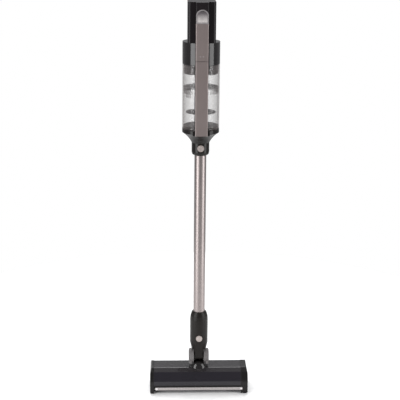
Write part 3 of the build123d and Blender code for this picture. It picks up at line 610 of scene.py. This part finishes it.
def makeMark(name, place, size, material):
    # a small flat mark that stands a little proud of the front
    clearPick()
    bpy.ops.mesh.primitive_cube_add(size=1, location=place)
    mark = bpy.context.object
    mark.scale = size
    bpy.ops.object.transform_apply(location=False, rotation=False, scale=True)
    pickEdges(mark, lambda e: edgeSpan(e).y > size[1] / 2)
    bpy.ops.mesh.bevel(offset=size[2] * markRound, segments=3, affect="EDGES")
    bpy.ops.object.mode_set(mode="OBJECT")
    settle(mark, name, "handheld", material, 30)


displayBars = {"count": 4, "wide": 0.0105, "narrowing": 0.12, "tall": 0.0011, "step": 0.0034, "rise": 0.009,
               "proud": 0.0001}


def makeDisplayBars():
    # a small stack of charge marks low in the display
    for index in range(displayBars["count"]):
        place = ((lensLow.x + lensHigh.x) / 2, lensLow.y,
                 lensLow.z + displayBars["rise"] + index * displayBars["step"])
        wide = displayBars["wide"] * (1 - displayBars["narrowing"] * index)
        makeMark("chargeBar%d" % (index + 1), place, (wide, 2 * displayBars["proud"], displayBars["tall"]),
                 finishes["display_trim"])


indicator = {"xs": (-0.0046, 0.0029), "rise": 0.0125, "wide": 0.0026, "tall": 0.0011, "proud": 0.00008}


def makeIndicators():
    # two little lights over the seam of the front duct
    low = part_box("spine_upper_cover")[0]
    for index, x in enumerate(indicator["xs"]):
        makeMark("indicator%d" % (index + 1), (x, low.y, low.z + indicator["rise"]),
                 (indicator["wide"], 2 * indicator["proud"], indicator["tall"]), lampGlass)


axisY = middle("wand_tube").y
lampGlass = frostedBar("lampGlass", (0.62, 0.6, 0.6), 1, 1.0)
makeRollerPile()
makePreFilter()
makeMeshSleeve()
makeTyre("left_wheel", "left_wheel")
makeTyre("right_wheel", "right_wheel")
makeButtonRing("lower_button", "lower_button", "lowerButtonRing")
makeButtonRing("upper_button", "upper_button", "upperButtonRing")
makeSpineSeam()
makeEndLamps()
makeDisplayBars()
makeIndicators()
print("detail pieces are made")

shot = {"distance": 2.803, "height": 1.380, "azimuth": 2.1, "pitch": 16.3, "roll": 0.5, "lens": 96.2,
        "sensor": 36}


def makeCamera():
    turn = math.radians(shot["azimuth"])
    data = bpy.data.cameras.new("camera")
    data.lens = shot["lens"]
    data.sensor_width = shot["sensor"]
    camera = bpy.data.objects.new("camera", data)
    camera.location = (-shot["distance"] * math.sin(turn), axisY - shot["distance"] * math.cos(turn),
                       shot["height"])
    aim = Euler((math.radians(90 - shot["pitch"]), 0, -turn)).to_matrix()
    camera.rotation_euler = (aim @ Matrix.Rotation(math.radians(shot["roll"]), 3, "Z")).to_euler()
    bpy.context.scene.collection.objects.link(camera)
    bpy.context.scene.camera = camera


lamps = {
    "leftStrip": {"bearing": -54, "distance": 1.7, "height": 0.95, "width": 0.9, "tall": 2.3, "power": 34},
    "rightStrip": {"bearing": 64, "distance": 1.7, "height": 0.95, "width": 0.9, "tall": 2.3, "power": 27},
}
backLight = {"raise": 56, "bearing": 8, "spread": 55, "strength": 3.1}


def makeLamps():
    # two tall soft boxes at the sides, and a broad light from above and behind
    for name, lamp in lamps.items():
        data = bpy.data.lights.new(name, "AREA")
        data.shape = "RECTANGLE"
        data.size = lamp["width"]
        data.size_y = lamp["tall"]
        data.energy = lamp["power"]
        piece = bpy.data.objects.new(name, data)
        turn = math.radians(lamp["bearing"])
        piece.location = (lamp["distance"] * math.sin(turn), axisY - lamp["distance"] * math.cos(turn),
                          lamp["height"])
        aimAt = Vector((0, axisY, lamp["height"]))
        piece.rotation_euler = (aimAt - piece.location).to_track_quat("-Z", "Y").to_euler()
        bpy.context.scene.collection.objects.link(piece)
    data = bpy.data.lights.new("backLight", "SUN")
    data.energy = backLight["strength"]
    data.angle = math.radians(backLight["spread"])
    piece = bpy.data.objects.new("backLight", data)
    rise, turn = math.radians(backLight["raise"]), math.radians(backLight["bearing"])
    ray = Vector((math.sin(turn) * math.cos(rise), -math.cos(turn) * math.cos(rise), -math.sin(rise)))
    piece.rotation_euler = ray.to_track_quat("-Z", "Y").to_euler()
    bpy.context.scene.collection.objects.link(piece)


floorDisc = {"sides": 96, "radius": 1.15, "dark": (0.86, 0.86, 0.86), "light": (0.9, 0.9, 0.9)}


def makeFloor():
    clearPick()
    bpy.ops.mesh.primitive_circle_add(vertices=floorDisc["sides"], radius=floorDisc["radius"],
                                      fill_type="NGON", location=(0, 0, 0))
    floor = bpy.context.object
    shade = Shade("paleFloor", Roughness=0.75, Specular_IOR_Level=0.15)
    shade.colour(shade.blendColours(shade.noise(2, 3), floorDisc["dark"], floorDisc["light"]))
    floor.data.materials.append(shade.material)
    floor.name = "floor"


room = {"seen": (1, 1, 1, 1), "seenStrength": 1.0, "fill": (0.97, 0.98, 1, 1), "fillStrength": 0.34}


def makeRoom():
    # a white room, dimmer in what it lights than in what is seen of it
    world = bpy.data.worlds.new("studio")
    world.use_nodes = True
    tree = world.node_tree
    seen = tree.nodes["Background"]
    seen.inputs["Color"].default_value = room["seen"]
    seen.inputs["Strength"].default_value = room["seenStrength"]
    fill = tree.nodes.new("ShaderNodeBackground")
    fill.inputs["Color"].default_value = room["fill"]
    fill.inputs["Strength"].default_value = room["fillStrength"]
    path = tree.nodes.new("ShaderNodeLightPath")
    mixed = tree.nodes.new("ShaderNodeMixShader")
    tree.links.new(path.outputs["Is Camera Ray"], mixed.inputs["Fac"])
    tree.links.new(fill.outputs[0], mixed.inputs[1])
    tree.links.new(seen.outputs[0], mixed.inputs[2])
    tree.links.new(mixed.outputs[0], tree.nodes["World Output"].inputs["Surface"])
    bpy.context.scene.world = world
    bpy.context.scene.view_settings.view_transform = "Standard"


makeCamera()
makeLamps()
makeFloor()
makeRoom()
print("camera, lamps and floor are set")
